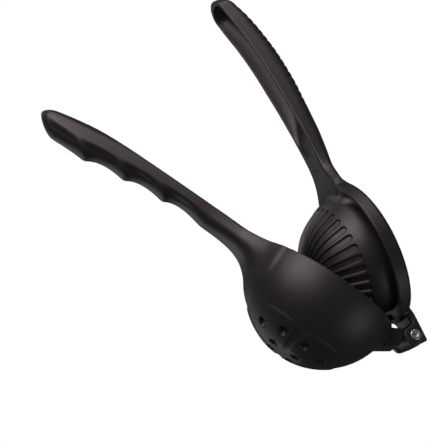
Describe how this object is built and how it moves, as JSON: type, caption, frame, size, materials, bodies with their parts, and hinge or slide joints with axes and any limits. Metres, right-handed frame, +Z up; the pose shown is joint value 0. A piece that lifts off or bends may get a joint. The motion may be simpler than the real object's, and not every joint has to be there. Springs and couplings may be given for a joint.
{
  "type": "hinged citrus squeezer",
  "caption": "Hand squeezer for lemons and limes: a perforated bowl on a finger-grooved grip, and a fluted press on a channel grip that hinges over it.",
  "frame": {"origin": "centre of the flat foot under the bowl, on the bowl's axis", "axes": "+Z up along the bowl's axis, +X from the grips towards the hinge, Y along the hinge screw"},
  "size_m": [0.282, 0.0972, 0.1813],
  "materials": {
    "black_nylon": "satin, fine-grained mould texture",
    "bright_steel": "bright turned and rolled",
    "nut_nylon": "satin"
  },
  "bodies": {
    "bowl_side": {"bowl_arm": "black_nylon"},
    "press_side": {"press_arm": "black_nylon", "hinge_screw": "bright_steel", "lock_nut": "bright_steel", "lock_nut_ring": "nut_nylon"}
  },
  "joints": [
    {"name": "hinge", "type": "hinge", "parent": "bowl_side", "child": "press_side", "pos_m": [0.0605, 0, 0.054], "axis": [0, 1, 0], "range_deg": [-28.5, 70]}
  ]
}
